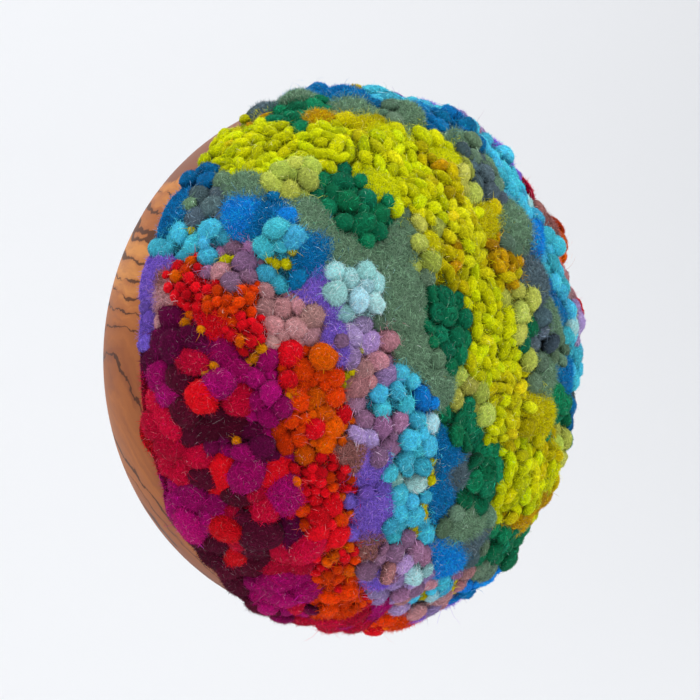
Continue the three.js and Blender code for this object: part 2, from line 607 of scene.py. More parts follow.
def scatter_number(index: np.ndarray) -> np.ndarray:
    """Gives each whole number its own number from 0 to 1, the same every time."""
    wave = np.sin(index * SCATTER_STEP) * SCATTER_GAIN
    return wave - np.floor(wave)


@dataclass
class Crown:
    """The smooth outer form that the tufts' tips reach, and the groups of tufts on it."""

    edge_radius: float = 47.7 * MM
    edge_depth: float = 28 * MM
    height: float = 29.8 * MM
    fullness: float = 2.33
    hem: float = 1.3 * MM
    groups: int = 240
    crease: float = 1.35 * MM
    least_radius: float = 3.6 * MM
    radius_spread: float = 2.8 * MM
    least_rise: float = 0.8 * MM
    rise_spread: float = 1.4 * MM
    scatter: float = 0.8
    steps: int = 400

    def __post_init__(self) -> None:
        """Works out the outline from the top to the edge, and the groups."""
        angle = np.linspace(math.pi / 2, 0, self.steps * 3)
        power = 2 / self.fullness
        radius = self.edge_radius * np.maximum(np.cos(angle), 0) ** power
        depth = self.edge_depth + self.height * np.sin(angle) ** power
        radius[0] = 0
        length = np.concatenate([[0], np.cumsum(np.hypot(np.diff(radius), np.diff(depth)))])
        self.total = float(length[-1])
        self.along = np.linspace(0, self.total, self.steps + 1)
        self.radius = np.interp(self.along, length, radius)
        self.depth = np.interp(self.along, length, depth)
        slope_r, slope_d = np.gradient(self.radius), np.gradient(self.depth)
        size = np.hypot(slope_r, slope_d)
        self.out_radius, self.out_depth = -slope_d / size, slope_r / size
        rings = (self.radius[1:] + self.radius[:-1]) * np.hypot(np.diff(self.radius), np.diff(self.depth))
        self.area = np.concatenate([[0], np.cumsum(rings)])
        self._set_groups()
        self._add_hem()

    def _add_hem(self) -> None:
        """Lets the outline go on past the edge, straight down the outside of the hem."""
        for name, value in (("along", self.total + self.hem), ("radius", self.edge_radius),
                            ("depth", self.edge_depth - self.hem), ("out_radius", 1.0), ("out_depth", 0.0),
                            ("area", self.area[-1] + 2 * self.edge_radius * self.hem)):
            setattr(self, name, np.append(getattr(self, name), value))

    def _set_groups(self) -> None:
        """Places the groups: equal areas in turn, each a golden angle on, then scattered."""
        index = np.arange(self.groups)
        share = (index + 0.5 + (scatter_number(2 * index + 1) - 0.5) * self.scatter) / self.groups
        along = np.interp(share * self.area[-1], self.area, self.along)
        turn = index * GOLDEN_ANGLE + (scatter_number(2 * index + 2) - 0.5) * self.scatter
        self.middles, _ = self.place(along, turn)
        self.group_along, self.group_turn = along, turn
        self.group_radius = self.least_radius + self.radius_spread * scatter_number(3 * index + 500)
        self.group_rise = self.least_rise + self.rise_spread * scatter_number(5 * index + 900)

    def place(self, along: np.ndarray, turn: np.ndarray) -> tuple[np.ndarray, np.ndarray]:
        """Finds places on the smooth crown.

        Args:
            along: distance from the top along the surface.
            turn: angle round the Y axis.

        Returns:
            The places and the outward directions there.
        """
        radius = np.interp(along, self.along, self.radius)
        depth = np.interp(along, self.along, self.depth)
        out_r = np.interp(along, self.along, self.out_radius)
        out_d = np.interp(along, self.along, self.out_depth)
        points = np.stack([radius * np.cos(turn), -depth, radius * np.sin(turn)], -1)
        normals = np.stack([out_r * np.cos(turn), -out_d, out_r * np.sin(turn)], -1)
        return points, unit(normals)

    def scattered(self, random: np.random.Generator, count: int) -> tuple[np.ndarray, np.ndarray]:
        """Picks places that are spread evenly over the crown and its hem.

        Args:
            random: source of the random numbers.
            count: number of places.

        Returns:
            Their distances from the top along the surface, and their turns round the Y axis.
        """
        along = np.interp(random.random(count) * self.area[-1], self.area, self.along)
        return along, random.random(count) * 2 * math.pi

    def nearest_group(self, points: np.ndarray) -> tuple[np.ndarray, np.ndarray]:
        """Finds the group that each point belongs to.

        Args:
            points: places near the crown.

        Returns:
            The group's number, and how far the point is from its middle in its radii.
        """
        best, reach = np.zeros(len(points), int), np.full(len(points), np.inf)
        for number in range(self.groups):
            distance = np.linalg.norm(points - self.middles[number], axis=1) / self.group_radius[number]
            nearer = distance < reach
            best[nearer], reach[nearer] = number, distance[nearer]
        return best, reach

    def rise(self, points: np.ndarray) -> np.ndarray:
        """Finds the height of the groups above the creases.

        Args:
            points: places on the smooth crown.

        Returns:
            One height for each place.
        """
        height = np.zeros(len(points))
        for middle, radius, rise in zip(self.middles, self.group_radius, self.group_rise):
            reach = np.linalg.norm(points - middle, axis=1) / radius
            height = np.maximum(height, rise * np.maximum(1 - reach * reach, 0))
        return height


@dataclass
class Pattern:
    """A stream of lime loops that winds across the mound, with the other wools in bands beside it."""

    crown: Crown
    lean: float = math.radians(40)
    offset: float = 9 * MM
    swing: float = 8 * MM
    swing_length: float = 15 * MM
    fray: float = 2.6 * MM
    dotted: float = 0.45
    dot_length: float = 0.75
    dot_width: float = 0.24
    dot_shift: float = 0.55
    seed: int = 41

    def __post_init__(self) -> None:
        """Gives each group its wool and its kind of pile, and some of them a cluster of dots."""
        random = np.random.default_rng(self.seed)
        distance = self.distance(self.crown.group_along, self.crown.group_turn)
        distance = distance + random.normal(0, self.fray / 2, len(distance))
        self.band = np.searchsorted([band.reach for band in BANDS], np.maximum(distance, 0))
        bands = [BANDS[number] for number in self.band]
        self.wool = [band.wools[random.integers(len(band.wools))] for band in bands]
        self.pile = [band.piles[random.integers(len(band.piles))] for band in bands]
        self.dots = [band.dots if random.random() < self.dotted else None for band in bands]
        _, normals = self.crown.place(self.crown.group_along, self.crown.group_turn)
        heading = random.normal(0, 1, (len(bands), 3))
        self.dot_heading = unit(heading - normals * (heading * normals).sum(1, keepdims=True))
        self.dot_middle = np.cross(normals, self.dot_heading) * self.dot_shift
        self.colour = np.array([wool.colour for wool in self.wool])

    def dotted_at(self, point: np.ndarray, group: int) -> bool:
        """Tells whether a place lies in its group's short row of dots.

        Args:
            point: the place.
            group: the group's number.

        Returns:
            True in the row, and False elsewhere or where the group has none.
        """
        if self.dots[group] is None:
            return False
        offset = (point - self.crown.middles[group]) / self.crown.group_radius[group] - self.dot_middle[group]
        heading = self.dot_heading[group]
        length = offset @ heading
        return abs(length) < self.dot_length and np.linalg.norm(offset - length * heading) < self.dot_width

    def distance(self, along: np.ndarray, turn: np.ndarray) -> np.ndarray:
        """Measures how far places are from the middle of the lime stream.

        Args:
            along: distance from the crown's top along the surface.
            turn: angle round the Y axis.

        Returns:
            One distance for each place.
        """
        across = along * np.cos(turn - self.lean)
        down = along * np.sin(turn - self.lean)
        return np.abs(across - self.offset - self.swing * np.sin(down / self.swing_length))


@dataclass(frozen=True)
class Stamp:
    """One modelled tuft, of radius 1 and standing on +Z, that is copied over the mound."""

    points: np.ndarray
    corners: np.ndarray
    # painted shade for each point: a colour factor, darkest at the tuft's foot
    painted_shading: np.ndarray


@dataclass
class TuftMaker:
    """Models the tufts that are copied."""

    seed: int = 7
    lumps: float = 0.13
    cut_level: float = -0.4
    ring_steps: int = 14
    ring_sides: int = 8
    filling: float = 0.75
    # painted shade: the colour factor at a tuft's foot, and how much it rises towards the top
    foot_shade: float = 0.22
    shade_spread: float = 0.6

    def __post_init__(self) -> None:
        """Starts the random numbers."""
        self.random = np.random.default_rng(self.seed)

    def lump(self, stretch: tuple[float, float, float], fine: bool = True) -> Stamp:
        """Models a lump of felted wool, flat below where it is stitched down.

        Args:
            stretch: its half sizes along X, Y and Z.
            fine: whether it is large enough to need more faces.

        Returns:
            The tuft.
        """
        deselect_everything()
        bpy.ops.mesh.primitive_ico_sphere_add(subdivisions=2, radius=1)
        bpy.ops.object.mode_set(mode="EDIT")
        bpy.ops.mesh.select_all(action="SELECT")
        bpy.ops.transform.vertex_random(offset=self.lumps, seed=int(self.random.integers(1, 9999)))
        if fine:
            bpy.ops.mesh.subdivide(number_cuts=1, smoothness=1.0)
        bpy.ops.mesh.bisect(
            plane_co=(0, 0, self.cut_level), plane_no=(0, 0, 1), use_fill=True, clear_inner=True
        )
        bpy.ops.mesh.select_all(action="SELECT")
        bpy.ops.transform.resize(value=stretch, center_override=(0, 0, 0))
        return self.taken()

    def ring(self, major: float, minor: float, height: float) -> Stamp:
        """Models a coil: a ring of wool with a filled middle.

        Args:
            major: radius of the ring's middle line.
            minor: radius of its section.
            height: how far it is pressed flat, as a factor.

        Returns:
            The tuft.
        """
        deselect_everything()
        bpy.ops.mesh.primitive_torus_add(
            major_segments=self.ring_steps, minor_segments=self.ring_sides,
            major_radius=major, minor_radius=minor,
        )
        bpy.ops.object.mode_set(mode="EDIT")
        bpy.ops.mesh.select_all(action="SELECT")
        bpy.ops.transform.vertex_random(offset=self.lumps / 2, seed=int(self.random.integers(1, 9999)))
        bpy.ops.transform.resize(value=(1, 1, height), center_override=(0, 0, 0))
        bpy.ops.mesh.primitive_uv_sphere_add(segments=10, ring_count=6, radius=major * self.filling)
        coil = self.taken()
        return Stamp(coil.points, in_fixed_order(coil.corners), coil.painted_shading)

    def taken(self) -> Stamp:
        """Reads the tuft that is being modelled, and clears it away.

        Returns:
            The tuft, with painted shade that darkens it towards its foot.
        """
        piece = bpy.context.object
        bpy.ops.mesh.quads_convert_to_tris()
        bpy.ops.object.mode_set(mode="OBJECT")
        points, corners = mesh_arrays(piece)
        bpy.data.objects.remove(piece)
        height = points[:, 2] / points[:, 2].max()
        # painted shade: darker towards the foot, where tufts crowd into creases
        return Stamp(points, corners, self.foot_shade + self.shade_spread * smooth_step(-0.3, 0.8, height))


@dataclass(frozen=True)
class FibreKind:
    """One kind of fibre: its sizes, how its tone varies, its painted root shade and tip highlight, and how
    close it is laid to the wool, if it is.
    """

    least: float
    most: float
    half_width: float
    steps: int = 1
    tones: float = 0.3
    pale: float = 0.06
    # painted shade at a fibre's root and painted highlight at its tip, as factors on its colour
    root_shade: float = 0.6
    tip_highlight: float = 1.25
    laid: float = 0.0
    laid_lift: float = 0.15
    lift_range: tuple[float, float] = (0.4, 1.3)
    width_odds: tuple[float, float] = (0.7, 1.4)
    height_odds: tuple[float, float] = (0.3, 1.6)
    pale_odds: tuple[float, float] = (0.06, 0.3)
    twist: float = 0.3
    buried: float = 0.05 * MM
    taper: float = 0.6
    curl: float = 0.6
    curl_change: float = 0.9
    droop: float = 0.3
    pale_tone: float = 0.75


@dataclass(frozen=True)
class TuftKind:
    """How one kind of pile is set on the mound, and how fibres lie on it."""

    least: float
    most: float
    stamps: tuple[Stamp, ...] = ()
    outward: float = 0.0
    along: float = 0.0
    lift: float = 0.35
    reach: float = 1.0
    tone: float = 1.0


PILE_DEPTH = {
    Pile.LOOP: 1.3 * MM,
    Pile.KNOT: 1.6 * MM,
    Pile.COIL: 1.5 * MM,
    Pile.BALL: 1.5 * MM,
    Pile.BEAD: 1.2 * MM,
    Pile.SHEARED: 0.5 * MM,
    Pile.FEATHER: 1.4 * MM,
}


def turned_solid(name: str, profile: list[tuple[float, float]], sides: int) -> bpy.types.Object:
    """Turns a profile round the Y axis, ring by ring, and closes both ends in a point.

    Args:
        name: the piece's name.
        profile: radius and depth of each ring.
        sides: number of points in a ring.

    Returns:
        The closed solid, active and in object mode, with its faces outwards.
    """
    deselect_everything()
    radius, depth = profile[0]
    bpy.ops.mesh.primitive_circle_add(
        vertices=sides, radius=radius, fill_type="NOTHING",
        location=(0, -depth, 0), rotation=(math.pi / 2, 0, 0),
    )
    piece = bpy.context.object
    piece.name = piece.data.name = name
    bpy.ops.object.transform_apply(location=True, rotation=True, scale=True)
    bpy.ops.object.mode_set(mode="EDIT")
    bpy.ops.mesh.extrude_region_move()
    bpy.ops.mesh.merge(type="CENTER")
    bpy.ops.mesh.select_all(action="DESELECT")
    bpy.ops.object.mode_set(mode="OBJECT")
    for vertex in piece.data.vertices:
        vertex.select = bool(math.hypot(vertex.co.x, vertex.co.z) > radius / 2)
    for edge in piece.data.edges:
        edge.select = all(piece.data.vertices[number].select for number in edge.vertices)
    bpy.ops.object.mode_set(mode="EDIT")
    for next_radius, next_depth in profile[1:]:
        bpy.ops.mesh.extrude_region_move(TRANSFORM_OT_translate={"value": (0, depth - next_depth, 0)})
        factor = next_radius / radius
        bpy.ops.transform.resize(value=(factor, 1, factor), center_override=(0, -next_depth, 0))
        radius, depth = next_radius, next_depth
    bpy.ops.mesh.extrude_region_move()
    bpy.ops.mesh.merge(type="CENTER")
    bpy.ops.mesh.select_all(action="SELECT")
    bpy.ops.mesh.remove_doubles(threshold=1e-6)
    bpy.ops.mesh.normals_make_consistent(inside=False)
    bpy.ops.object.mode_set(mode="OBJECT")
    bpy.ops.object.shade_smooth()
    return piece


@dataclass
class Bowl:
    """The bowl, turned from olive wood."""

    rim_radius: float = 45.7 * MM
    depth: float = 28 * MM
    side_arc: float = 30.5 * MM
    wall: float = 5 * MM
    floor: float = 6 * MM
    lip_round: float = 1.1 * MM
    foot_round: float = 0.7 * MM
    foot_radii: tuple[float, float] = (4 * MM, 14 * MM)
    sides: int = 160
    arc_steps: int = 18
    round_steps: int = 5
    finish: OliveWoodFinish = field(default_factory=OliveWoodFinish)

    def arc(self, inset: float, below: float) -> list[tuple[float, float]]:
        """Draws the side's arc.

        Args:
            inset: how far inside the outer face it runs.
            below: how far below the rim it ends.

        Returns:
            Radii and depths from the rim down.
        """
        radius = self.side_arc - inset
        middle = self.rim_radius - self.side_arc
        lowest = math.asin(below / radius)
        return [
            (middle + radius * math.cos(angle), self.depth - radius * math.sin(angle))
            for angle in np.linspace(0, lowest, self.arc_steps)
        ]

    def rounded(
        self, start: tuple[float, float], corner: tuple[float, float], end: tuple[float, float]
    ) -> list[tuple[float, float]]:
        """Rounds a corner of the profile.

        Args:
            start: where the round starts.
            corner: the sharp corner.
            end: where the round ends.

        Returns:
            Radii and depths along the round.
        """
        shares = np.linspace(0, 1, self.round_steps)
        return [
            tuple((1 - t) ** 2 * a + 2 * t * (1 - t) * b + t * t * c for a, b, c in zip(start, corner, end))
            for t in shares
        ]

    def profile(self) -> list[tuple[float, float]]:
        """Draws the bowl's section.

        Returns:
            Radii and depths from near the middle of the foot, round the lip, to near that of the inner floor.
        """
        outer = self.arc(0, self.depth)[::-1]
        inner = self.arc(self.wall, self.depth - self.floor)
        foot = outer[0]
        rim, inner_rim = self.rim_radius, self.rim_radius - self.wall
        below = self.depth - self.lip_round
        foot_end = (foot[0] + 0.4 * self.foot_round, self.foot_round)
        return [
            *((radius, 0.0) for radius in self.foot_radii),
            *self.rounded((foot[0] - self.foot_round, 0.0), foot, foot_end),
            *outer[2:-1],
            *self.rounded((rim, below), (rim, self.depth), (rim - self.lip_round, self.depth)),
            *self.rounded(
                (inner_rim + self.lip_round, self.depth), (inner_rim, self.depth), (inner_rim, below)
            ),
            *inner[2:],
            *((radius, self.floor) for radius in reversed(self.foot_radii)),
        ]

    def build(self) -> bpy.types.Object:
        """Makes and dresses the bowl.

        Returns:
            The bowl, which stands for its plain solid.
        """
        piece = turned_solid("turned_bowl", self.profile(), self.sides)
        seat(piece, self.finish.material())
        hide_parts("wood_bowl")
        log.info("%s: %d faces", piece.name, len(piece.data.polygons))
        return piece


@dataclass
class Ground:
    """The wool mound under the tufts: padded cloth with raised groups and creases between them."""

    bowl: Bowl
    crown: Crown
    pattern: Pattern
    crown_rings: int = 22
    body_rings: int = 6
    hem_inside: float = 46 * MM
    hem_round: float = 0.9 * MM
    hang: float = 0.8
    lip_depth: float = 28.3 * MM
    body_inset: float = 5.3 * MM
    floor: float = 6.4 * MM
    floor_radius: float = 8 * MM
    sides: int = 96
    start_inset: float = 1.2 * MM
    voxel: float = 1.3 * MM
    pressure: float = 600
    frames: int = 20
    most_swell: float = 0.8 * MM
    held_above: float = 0.8 * MM
    outside_ease: float = 0.9 * MM
    lip_ease: float = 1.2 * MM
    edge_ease: float = 0.5 * MM
    hem_flatness: float = 0.6
    # painted shade: how dark the ground's wool is under sheared pile and under tufts
    sheared_ground_shade: float = 0.8
    tufted_ground_shade: float = 0.25

    def profile(self) -> list[tuple[float, float]]:
        """Draws the mound's section.

        Returns:
            Radii and depths from near the crown's top to near the middle of the bowl's floor.
        """
        total = self.crown.total
        along = np.linspace(total / self.crown_rings, total, self.crown_rings)
        points, normals = self.crown.place(along, np.zeros(len(along)))
        points = points - normals * self.start_inset * (along < total)[:, None]
        crown = [(point[0], -point[1]) for point in points]
        arc = self.bowl.side_arc - self.body_inset
        middle = self.bowl.rim_radius - self.bowl.side_arc
        lowest = math.asin((self.bowl.depth - self.floor) / arc)
        body = [
            (middle + arc * math.cos(angle), self.bowl.depth - arc * math.sin(angle))
            for angle in np.linspace(0, lowest, self.body_rings)
        ]
        edge, corner = self.crown.edge_radius, self.hem_round
        foot = self.crown.edge_depth - self.crown.hem
        hem = [
            (edge - corner * 0.2, foot + corner * 0.3),
            (edge - corner * 0.8, foot),
            (self.hem_inside, foot + corner * 0.3),
            (self.hem_inside, self.lip_depth),
        ]
        return [*crown, *hem, (body[0][0], self.lip_depth), *body[1:], (self.floor_radius, self.floor)]

    def build(self) -> bpy.types.Object:
        """Makes the mound, swells it as padded cloth and raises its groups.

        Returns:
            The finished mesh object.
        """
        piece = turned_solid("tufted_mound", self.profile(), self.sides)
        piece.data.remesh_voxel_size = self.voxel
        bpy.ops.object.voxel_remesh()
        self.swell(piece)
        subdivision = piece.modifiers.new("fine", "SUBSURF")
        subdivision.levels = subdivision.render_levels = 1
        bpy.ops.object.modifier_apply(modifier=subdivision.name)
        self.raise_groups(piece)
        return piece

    def swell(self, piece: bpy.types.Object) -> None:
        """Lets the padding press the cloth outwards where the bowl doesn't hold it.

        How far each point moved is stored with the mesh.

        Args:
            piece: the mound, which is the active object.
        """
        before, _ = mesh_arrays(piece)
        group_name = "held"
        held = piece.vertex_groups.new(name=group_name)
        for number in np.nonzero(-before[:, 1] < self.lip_depth + self.held_above)[0]:
            held.add([int(number)], 1.0, "REPLACE")
        cloth = piece.modifiers.new("padding", "CLOTH")
        cloth.settings.use_pressure = True
        cloth.settings.uniform_pressure_force = self.pressure
        cloth.settings.vertex_group_mass = group_name
        cloth.settings.effector_weights.gravity = 0
        scene = bpy.context.scene
        for number in range(1, self.frames + 1):
            scene.frame_set(number)
        bpy.ops.object.modifier_apply(modifier=cloth.name)
        scene.frame_set(1)
        move = mesh_arrays(piece)[0] - before
        size = np.linalg.norm(move, axis=1, keepdims=True)
        move *= np.minimum(1, self.most_swell / np.maximum(size, 1e-9))
        piece.data.vertices.foreach_set("co", (before + move).astype(np.float32).ravel())
        layer = piece.data.attributes.new(SWELL_ATTRIBUTE, "FLOAT_VECTOR", "POINT")
        layer.data.foreach_set("vector", move.astype(np.float32).ravel())
        piece.vertex_groups.clear()
        log.info("padding moved the cloth by up to %.2f mm", size.max() / MM)

    def stored_swelling(self, piece: bpy.types.Object) -> np.ndarray:
        """Takes how far each point has swelled, and clears it away.

        Args:
            piece: the mound.

        Returns:
            One row for each point, all zero where no padding has pressed.
        """
        moves = np.zeros(len(piece.data.vertices) * 3, np.float32)
        layer = piece.data.attributes.get(SWELL_ATTRIBUTE)
        if layer is not None:
            layer.data.foreach_get("vector", moves)
            piece.data.attributes.remove(layer)
        return moves.reshape(-1, 3)

    def raise_groups(self, piece: bpy.types.Object) -> None:
        """Moves the crown's points out to the groups' height, lets the hem hang, adds the swelling and paints
        the wool, darkened as painted shade.

        Args:
            piece: the mound.
        """
        swelling = self.stored_swelling(piece)
        points = mesh_arrays(piece)[0] - swelling
        crown = self.crown
        depth = -points[:, 1]
        radius = np.hypot(points[:, 0], points[:, 2])
        turn = np.arctan2(points[:, 2], points[:, 0])
        angle = np.arctan2(depth - crown.edge_depth, radius)
        known = np.arctan2(crown.depth - crown.edge_depth, crown.radius)
        along = np.interp(-angle, -known, crown.along)
        outer, normals = crown.place(along, turn)
        outside = smooth_step(self.hem_inside, self.hem_inside + self.outside_ease, radius)
        above = smooth_step(self.lip_depth, self.lip_depth + self.lip_ease, depth)
        on_crown = np.maximum(above, outside)
        group, _ = crown.nearest_group(outer)
        low = np.array([PILE_DEPTH[pile] for pile in self.pattern.pile])[group]
        rise = crown.rise(outer)
        wanted = rise - crown.crease - low
        now = ((points - outer) * normals).sum(1)
        past_edge = smooth_step(crown.edge_depth + self.edge_ease, crown.edge_depth - crown.hem, depth)
        move = np.where(past_edge > 0, wanted * (1 - self.hem_flatness * past_edge), wanted - now)
        points = points + normals * (move * on_crown)[:, None]
        points[:, 1] += rise * self.hang * past_edge * on_crown
        piece.data.vertices.foreach_set("co", (points + swelling).astype(np.float32).ravel())
        piece.data.update()
        # painted shade: the ground's wool is darkened a little under sheared pile and much under tufts, as
        # shade in the creases
        sheared = np.array([pile is Pile.SHEARED for pile in self.pattern.pile])[group]
        tone = np.where(sheared, self.sheared_ground_shade, self.tufted_ground_shade)
        paint_wool(piece, self.pattern.colour[group] * tone[:, None])


@dataclass
class Tufts:
    """All tufts in arrays, one row each."""

    roots: np.ndarray
    normals: np.ndarray
    forward: np.ndarray
    radius: np.ndarray
    colour: np.ndarray
    pile: list[Pile]
    warm: np.ndarray


@dataclass
class TuftedMound:
    """The mound with its tufts, one by one, and the fibres that stray from them."""

    bowl: Bowl
    crown: Crown = field(default_factory=Crown)
    seed: int = 12
    spacing: float = 0.72
    size_bias: float = 1.4
    size_odds: tuple[float, float] = (0.85, 1.2)
    tone_odds: tuple[float, float] = (0.7, 1.28)
    hue_odds: tuple[float, float] = (0.92, 1.08)
    tilt: float = 0.22
    feather_spread: float = 0.35
    odd_wool: float = 0.22
    ragged: float = 0.45 * MM
    ball_share: float = 0.012
    bead_share: float = 0.6
    pile_edge: float = 0.93
    edge_knots: float = 0.12
    feather_clear: float = 1.5 * MM
    candidates: int = 60000
    fuzz_rays: int = 380000
    fuzz_on_tufts: float = 0.62
    strand_rays: int = 72000
    stray_rays: int = 1500
    fuzz_spread: float = 0.45
    loose_spread: float = 0.6
    heading_spread: float = 0.75
    # painted shade of fibres that root deep in the creases, and the depths over which it grows
    shade: float = 0.6
    shade_from: float = 0.6 * MM
    shade_to: float = 2.2 * MM
    fuzz: FibreKind = FibreKind(0.5 * MM, 1.15 * MM, 0.042 * MM, tones=0.22, root_shade=0.65, tip_highlight=1.3)
    strand: FibreKind = FibreKind(
        1.0 * MM, 2.6 * MM, 0.045 * MM, steps=2, tones=0.45, pale=0.05, root_shade=0.8, laid=0.14 * MM
    )
    stray: FibreKind = FibreKind(2.2 * MM, 5 * MM, 0.024 * MM, steps=6, pale=0.2, root_shade=0.8)
    clearance: float = 0.15 * MM

    def __post_init__(self) -> None:
        """Sets out the pattern and models the tufts."""
        self.random = np.random.default_rng(self.seed)
        self.pattern = Pattern(self.crown)
        maker = TuftMaker()
        knots = tuple(maker.lump((1.05, 0.95, 0.75)) for _ in range(7))
        coils = tuple(maker.ring(0.62, 0.4, 1.15) for _ in range(3))
        loops = tuple(maker.lump((1.35, 0.85, 0.9), fine=False) for _ in range(7))
        beads = tuple(maker.lump((1.0, 1.0, 0.95), fine=False) for _ in range(4))
        feathers = tuple(maker.lump((1.3, 1.05, 0.62)) for _ in range(7))
        self.kinds = {
            Pile.LOOP: TuftKind(0.85 * MM, 1.35 * MM, loops, along=0.8, lift=0.45, reach=0.55),
            Pile.KNOT: TuftKind(1.1 * MM, 2.0 * MM, knots, outward=0.7, lift=0.5, reach=0.62),
            Pile.COIL: TuftKind(1.5 * MM, 2.0 * MM, coils, along=0.3, lift=0.45, reach=0.55),
            Pile.BALL: TuftKind(2.2 * MM, 2.5 * MM, knots, outward=1.2, lift=0.25, reach=0.9),
            Pile.BEAD: TuftKind(0.75 * MM, 1.1 * MM, beads, outward=0.6, lift=0.45, reach=0.5),
            Pile.FEATHER: TuftKind(1.4 * MM, 2.6 * MM, feathers, along=0.6, lift=0.55, reach=1.0, tone=1.1),
            Pile.SHEARED: TuftKind(0, 0, lift=1.0, reach=1.1, tone=1.25),
        }

    def build(self) -> None:
        """Makes the ground, the tufts and the fibres, and dresses them."""
        ground = Ground(self.bowl, self.crown, self.pattern).build()
        points, corners = mesh_arrays(ground)
        log.info("%s: %d triangles", ground.name, len(corners))
        seat(ground, WoolFinish("wool_ground", relief=0.2 * MM, threads=0.7).material())
        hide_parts("punch_needle_dome")
        self.wool = WoolFinish("wool_tuft", threads=0.55).material()
        self.fibre = WoolFinish("wool_fibre").material()
        self.surface = BVHTree.FromPolygons(points.tolist(), corners.tolist())
        tufts = self.spread_tufts()
        self.mesh_points, self.mesh_corners = [points], [corners]
        self.owners = [np.full(len(corners), -1)]
        self.set_tufts(tufts)
        self.surface = BVHTree.FromPolygons(
            np.concatenate(self.mesh_points).tolist(), np.concatenate(self.mesh_corners).tolist()
        )
        self.owner = np.concatenate(self.owners)
        self.set_fibres(tufts)

    def cast(self, start: np.ndarray, direction: np.ndarray, reach: float) -> tuple[np.ndarray, ...]:
        """Shoots rays at the wool.

        Args:
            start: where each ray starts.
            direction: which way it goes.
            reach: how far it goes.

        Returns:
            For each ray whether it hit, and where, the outward direction there and the face's number.
        """
        hit = np.zeros(len(start), bool)
        places, normals, faces = start.copy(), -direction, np.zeros(len(start), int)
        for number, (origin, heading) in enumerate(zip(start.tolist(), direction.tolist())):
            place, normal, face, _ = self.surface.ray_cast(origin, heading, reach)
            if place is not None:
                hit[number] = True
                places[number], normals[number], faces[number] = place, normal, face
        flip = (normals * direction).sum(1) > 0
        normals[flip] = -normals[flip]
        return hit, places, normals, faces

    def spread_tufts(self) -> Tufts:
        """Picks the places and sizes of the tufts, the largest first, so that they crowd without piling up.

        Returns:
            The tufts.
        """
        random = self.random
        along, turn = self.crown.scattered(random, self.candidates)
        points, normals = self.crown.place(along, turn)
        group, reach = self.crown.nearest_group(points + random.normal(0, self.ragged, points.shape))
        pile = [self.pattern.pile[number] for number in group]
        colour = self.pattern.colour[group].copy()
        wish = np.zeros(len(points))
        for number in range(len(points)):
            own = pile[number]
            if own is Pile.BALL and random.random() > self.ball_share:
                pile[number] = own = Pile.BEAD if random.random() < self.bead_share else Pile.KNOT
            if own is Pile.FEATHER and along[number] > self.crown.total - self.feather_clear:
                continue
            if own is Pile.SHEARED and reach[number] > self.pile_edge and random.random() < self.edge_knots:
                pile[number] = own = Pile.KNOT
            if random.random() < self.odd_wool:
                wools = BANDS[self.pattern.band[group[number]]].wools
                colour[number] = wools[random.integers(len(wools))].colour
            if self.pattern.dotted_at(points[number], group[number]):
                pile[number] = own = Pile.BEAD
                colour[number] = self.pattern.dots[group[number]].colour
            kind = self.kinds[own]
            wish[number] = kind.least + (kind.most - kind.least) * random.random() ** self.size_bias
        kept = self.kept_apart(points, wish)
        count = len(kept)
        outward = normals[kept]
        _, roots, ground_normals, _ = self.cast(points[kept] + outward * 4 * MM, -outward, 12 * MM)
        tilted = unit(ground_normals + outward + random.normal(0, self.tilt, (count, 3)))
        downhill = unit(np.stack([roots[:, 0], np.zeros(count), roots[:, 2]], 1))
        heading = unit(random.normal(0, 1, (count, 3)))
        feather = np.array([pile[number] is Pile.FEATHER for number in kept])[:, None]
        heading = np.where(feather, downhill + self.feather_spread * heading, heading)
        forward = unit(np.cross(unit(np.cross(tilted, heading)), tilted))
        kept_pile = [pile[number] for number in kept]
        warm = self.pattern.band[group[kept]] >= FIRST_WARM_BAND
        return Tufts(roots, tilted, forward, wish[kept], colour[kept], kept_pile, warm)

    def kept_apart(self, points: np.ndarray, wish: np.ndarray) -> np.ndarray:
        """Keeps tufts that have room, the largest first.

        Args:
            points: where each tuft would stand.
            wish: its radius, or 0 for none.

        Returns:
            The numbers of those that are kept.
        """
        order = np.argsort(-wish, kind="stable")
        order = order[wish[order] > 0]
        kept, kept_points, kept_radius = [], np.empty((len(order), 3)), np.empty(len(order))
        for number in order:
            count = len(kept)
            gap = np.linalg.norm(kept_points[:count] - points[number], axis=1)
            if count == 0 or (gap > self.spacing * (kept_radius[:count] + wish[number])).all():
                kept_points[count], kept_radius[count] = points[number], wish[number]
                kept.append(number)
        return np.array(kept)

    def set_tufts(self, tufts: Tufts) -> None:
        """Copies the modelled tufts to their places, one joined piece for each family of wools.

        Args:
            tufts: the places.
        """
        families = {"lime_loops": [], "cool_knots": [], "warm_knots": [], "rim_feathers": []}
        for number, pile in enumerate(tufts.pile):
            if pile is Pile.LOOP:
                families["lime_loops"].append(number)
            elif pile is Pile.FEATHER:
                families["rim_feathers"].append(number)
            else:
                families["warm_knots" if tufts.warm[number] else "cool_knots"].append(number)
        for name, members in families.items():
            self.join_tufts(name, tufts, members)

    def join_tufts(self, name: str, tufts: Tufts, members: list[int]) -> None:
        """Joins copies of the modelled tufts into one piece.

        Args:
            name: the piece's name.
            tufts: the places.
            members: numbers of the tufts that belong to the piece.
        """
        side = np.cross(tufts.normals, tufts.forward)
        total = 0
        all_points, all_corners, all_colours, owners = [], [], [], []
        for number in members:
            kind = self.kinds[tufts.pile[number]]
            stamp = kind.stamps[self.random.integers(len(kind.stamps))]
            axes = np.stack([tufts.forward[number], side[number], tufts.normals[number]])
            scale = tufts.radius[number] * self.random.uniform(*self.size_odds, 3)
            all_points.append(tufts.roots[number] + (stamp.points * scale) @ axes)
            all_corners.append(stamp.corners + total)
            tone = self.random.uniform(*self.tone_odds)
            tufts.colour[number] *= tone * self.random.uniform(*self.hue_odds, 3)
